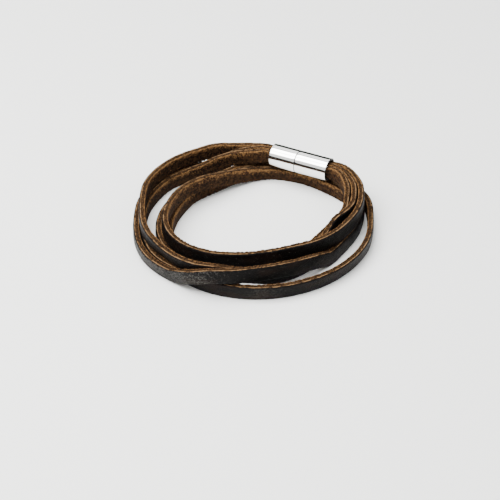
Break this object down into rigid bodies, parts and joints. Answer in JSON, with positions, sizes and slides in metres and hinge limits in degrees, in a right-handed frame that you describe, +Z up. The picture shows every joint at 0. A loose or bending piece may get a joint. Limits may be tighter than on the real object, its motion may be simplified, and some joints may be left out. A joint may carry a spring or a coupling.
{
  "type": "double-wrap leather bracelet",
  "caption": "Flat leather straps wound twice round the wrist, their ends joined by a polished steel barrel clasp; shown lying on its side.",
  "frame": {"origin": "middle of the wrap's outline on the surface it lies on", "axes": "+Z up, through the wrist hollow; +Y towards the clasp's side; +X to the right of a viewer who faces the clasp from the opposite side"},
  "size_m": [0.0748, 0.0726, 0.0125],
  "materials": {
    "leather": "dark brown grain face, raw tan cut edges, brown suede back",
    "steel": "mirror polished stainless steel"
  },
  "bodies": {
    "root": {"strap_outer": "leather", "strap_middle": "leather", "strap_inner": "leather", "clasp_socket": "steel", "clasp_plug": "steel"}
  },
  "joints": []
}
